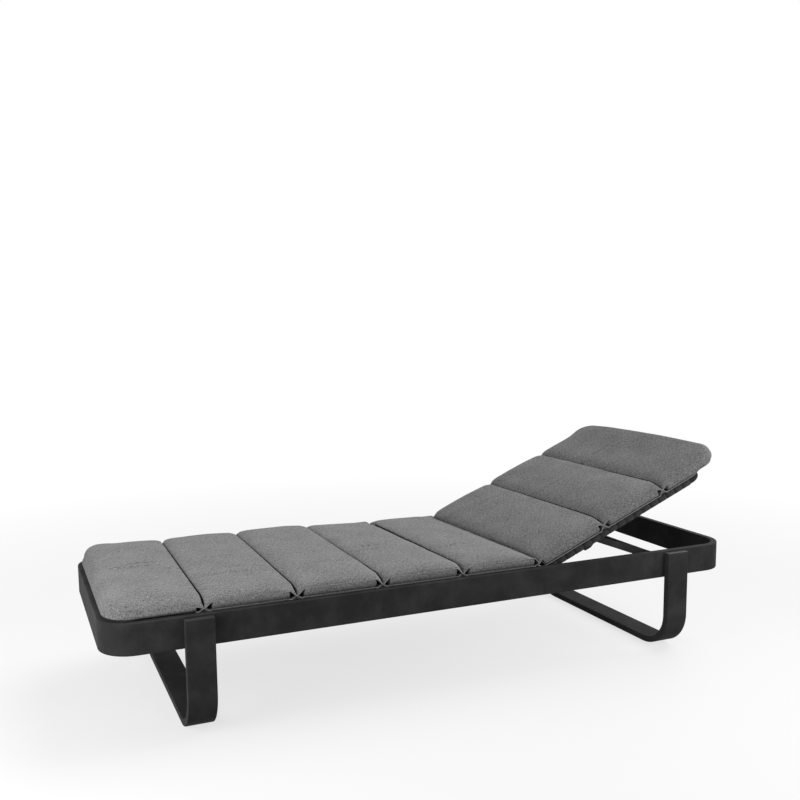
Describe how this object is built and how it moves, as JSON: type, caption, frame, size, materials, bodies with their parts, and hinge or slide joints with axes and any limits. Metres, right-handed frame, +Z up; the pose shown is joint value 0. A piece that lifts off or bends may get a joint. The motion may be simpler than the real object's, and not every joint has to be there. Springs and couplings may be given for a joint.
{
  "type": "sun lounger",
  "caption": "Low sun lounger: hoop of flat tube on two U-shaped sled legs, strapped deck, tilting backrest on a notched stay, channelled mattress.",
  "frame": {"origin": "on the floor, under the middle of the hoop", "axes": "+X towards the head end, +Z up, -Y is the side seen in the picture"},
  "size_m": [2, 0.75, 0.6449],
  "materials": {
    "frame_coating": "matt dark grey powder coating on aluminium",
    "cushion_fabric": "heathered mid grey woven outdoor fabric",
    "webbing": "dark grey woven strap",
    "fastener_steel": "plain stainless steel",
    "black_plastic": "moulded black plastic"
  },
  "bodies": {
    "base": {"deck_screws": "fastener_steel", "deck_standoffs": "black_plastic", "floor_glides": "black_plastic", "foot_hoop": "frame_coating", "foot_leg": "frame_coating", "head_hoop": "frame_coating", "head_leg": "frame_coating", "hinge_pins": "fastener_steel", "hinge_plate_left": "frame_coating", "hinge_plate_right": "frame_coating", "hinge_plate_screws": "fastener_steel", "hoop_joint_screws": "fastener_steel", "hoop_joint_sleeves": "frame_coating", "leg_bolts": "fastener_steel", "leg_end_caps": "black_plastic", "leg_nuts": "fastener_steel", "mattress_section_1": "cushion_fabric", "mattress_section_2": "cushion_fabric", "mattress_section_3": "cushion_fabric", "mattress_section_4": "cushion_fabric", "mattress_section_5": "cushion_fabric", "rack_screws": "fastener_steel", "seat_cross_tubes": "frame_coating", "seat_foot_tube": "frame_coating", "seat_rear_tube": "frame_coating", "seat_side_tube_left": "frame_coating", "seat_side_tube_right": "frame_coating", "seat_straps": "webbing", "stay_rack_left": "frame_coating", "stay_rack_right": "frame_coating"},
    "backrest": {"back_cross_tube": "frame_coating", "back_lower_tube": "frame_coating", "back_side_tube_left": "frame_coating", "back_side_tube_right": "frame_coating", "back_straps": "webbing", "back_top_tube": "frame_coating", "hinge_bushes": "black_plastic", "mattress_section_6": "cushion_fabric", "mattress_section_7": "cushion_fabric", "mattress_section_8": "cushion_fabric", "stay_bracket_left": "frame_coating", "stay_bracket_right": "frame_coating", "stay_pivot_pins": "fastener_steel"},
    "stay": {"stay_arm_left": "frame_coating", "stay_arm_right": "frame_coating", "stay_bar": "frame_coating"}
  },
  "joints": [
    {"name": "backrest_recline", "type": "hinge", "parent": "base", "child": "backrest", "pos_m": [0.3, 0, 0.304], "axis": [0, -1, 0], "range_deg": [-22.6, 32.4]},
    {"name": "stay_swing", "type": "hinge", "parent": "backrest", "child": "stay", "pos_m": [0.50295, 0, 0.38631], "axis": [0, 1, 0], "range_deg": [-38.5, 55.2]}
  ],
  "couplings": [
    {"joint": "stay_swing", "follows": "backrest_recline", "ratio": 1.6998}
  ]
}
